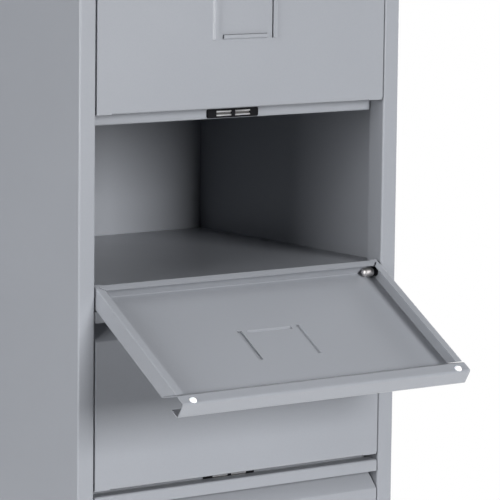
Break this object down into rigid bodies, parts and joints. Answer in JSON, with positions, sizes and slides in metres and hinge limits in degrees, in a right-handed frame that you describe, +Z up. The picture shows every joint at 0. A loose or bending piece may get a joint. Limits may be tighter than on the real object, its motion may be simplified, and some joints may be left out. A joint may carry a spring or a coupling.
{
  "type": "parcel locker",
  "caption": "Steel column locker with stacked drop-down flaps on pivot pins, each with a pull lip, label holder and magnet catch; one flap stands open.",
  "frame": {"origin": "centre of the cabinet's footprint on the floor, under the levelling feet", "axes": "+X to the right seen from the front, +Y from the front to the back, +Z up"},
  "size_m": [0.4, 0.4981, 1.82],
  "materials": {
    "grey_paint": "satin powder coat",
    "zinc_steel": "bright zinc plated",
    "pole_steel": "nickel plated",
    "magnet": "sintered ferrite",
    "black_plastic": "moulded nylon",
    "white_plastic": "moulded, slightly glossy"
  },
  "bodies": {
    "cabinet": {"left_side_panel": "grey_paint", "right_side_panel": "grey_paint", "back_panel": "grey_paint", "top_panel": "grey_paint", "plinth_panel": "grey_paint", "foot_brackets": "grey_paint", "levelling_feet": "black_plastic", "foot_nuts": "zinc_steel", "back_rivets": "zinc_steel", "pivot_pins": "zinc_steel", "catch_pole_plates": "pole_steel", "catch_magnets": "magnet", "shelf_1": "grey_paint", "shelf_2": "grey_paint", "shelf_3": "grey_paint", "shelf_4": "grey_paint", "shelf_5": "grey_paint", "shelf_6": "grey_paint", "shelf_7": "grey_paint", "shelf_8": "grey_paint", "shelf_9": "grey_paint", "shelf_10": "grey_paint", "magnet_catch_1": "black_plastic", "magnet_catch_2": "black_plastic", "magnet_catch_3": "black_plastic", "magnet_catch_4": "black_plastic", "magnet_catch_5": "black_plastic", "magnet_catch_6": "black_plastic", "magnet_catch_7": "black_plastic", "magnet_catch_8": "black_plastic", "magnet_catch_9": "black_plastic"},
    "flap_1": {"flap_panel_1": "grey_paint", "flap_buffers_1": "white_plastic", "flap_bushes_1": "black_plastic"},
    "flap_2": {"flap_panel_2": "grey_paint", "flap_buffers_2": "white_plastic", "flap_bushes_2": "black_plastic"},
    "flap_3": {"flap_panel_3": "grey_paint", "flap_buffers_3": "white_plastic", "flap_bushes_3": "black_plastic"},
    "flap_4": {"flap_panel_4": "grey_paint", "flap_buffers_4": "white_plastic", "flap_bushes_4": "black_plastic"},
    "flap_5": {"flap_panel_5": "grey_paint", "flap_buffers_5": "white_plastic", "flap_bushes_5": "black_plastic"},
    "flap_6": {"flap_panel_6": "grey_paint", "flap_buffers_6": "white_plastic", "flap_bushes_6": "black_plastic"},
    "flap_7": {"flap_panel_7": "grey_paint", "flap_buffers_7": "white_plastic", "flap_bushes_7": "black_plastic"},
    "flap_8": {"flap_panel_8": "grey_paint", "flap_buffers_8": "white_plastic", "flap_bushes_8": "black_plastic"},
    "flap_9": {"flap_panel_9": "grey_paint", "flap_buffers_9": "white_plastic", "flap_bushes_9": "black_plastic"}
  },
  "joints": [
    {"name": "flap_1_hinge", "type": "hinge", "parent": "cabinet", "child": "flap_1", "pos_m": [0, -0.1678, 0.106], "axis": [1, 0, 0], "range_deg": [0, 122]},
    {"name": "flap_2_hinge", "type": "hinge", "parent": "cabinet", "child": "flap_2", "pos_m": [0, -0.1678, 0.293], "axis": [1, 0, 0], "range_deg": [0, 122]},
    {"name": "flap_3_hinge", "type": "hinge", "parent": "cabinet", "child": "flap_3", "pos_m": [0, -0.1678, 0.48], "axis": [1, 0, 0], "range_deg": [0, 122]},
    {"name": "flap_4_hinge", "type": "hinge", "parent": "cabinet", "child": "flap_4", "pos_m": [0, -0.1678, 0.667], "axis": [1, 0, 0], "range_deg": [0, 0.4]},
    {"name": "flap_5_hinge", "type": "hinge", "parent": "cabinet", "child": "flap_5", "pos_m": [0, -0.1678, 0.854], "axis": [1, 0, 0], "range_deg": [-122, 0]},
    {"name": "flap_6_hinge", "type": "hinge", "parent": "cabinet", "child": "flap_6", "pos_m": [0, -0.1678, 1.041], "axis": [1, 0, 0], "range_deg": [0, 122]},
    {"name": "flap_7_hinge", "type": "hinge", "parent": "cabinet", "child": "flap_7", "pos_m": [0, -0.1678, 1.228], "axis": [1, 0, 0], "range_deg": [0, 122]},
    {"name": "flap_8_hinge", "type": "hinge", "parent": "cabinet", "child": "flap_8", "pos_m": [0, -0.1678, 1.415], "axis": [1, 0, 0], "range_deg": [0, 122]},
    {"name": "flap_9_hinge", "type": "hinge", "parent": "cabinet", "child": "flap_9", "pos_m": [0, -0.1678, 1.602], "axis": [1, 0, 0], "range_deg": [0, 122]}
  ]
}
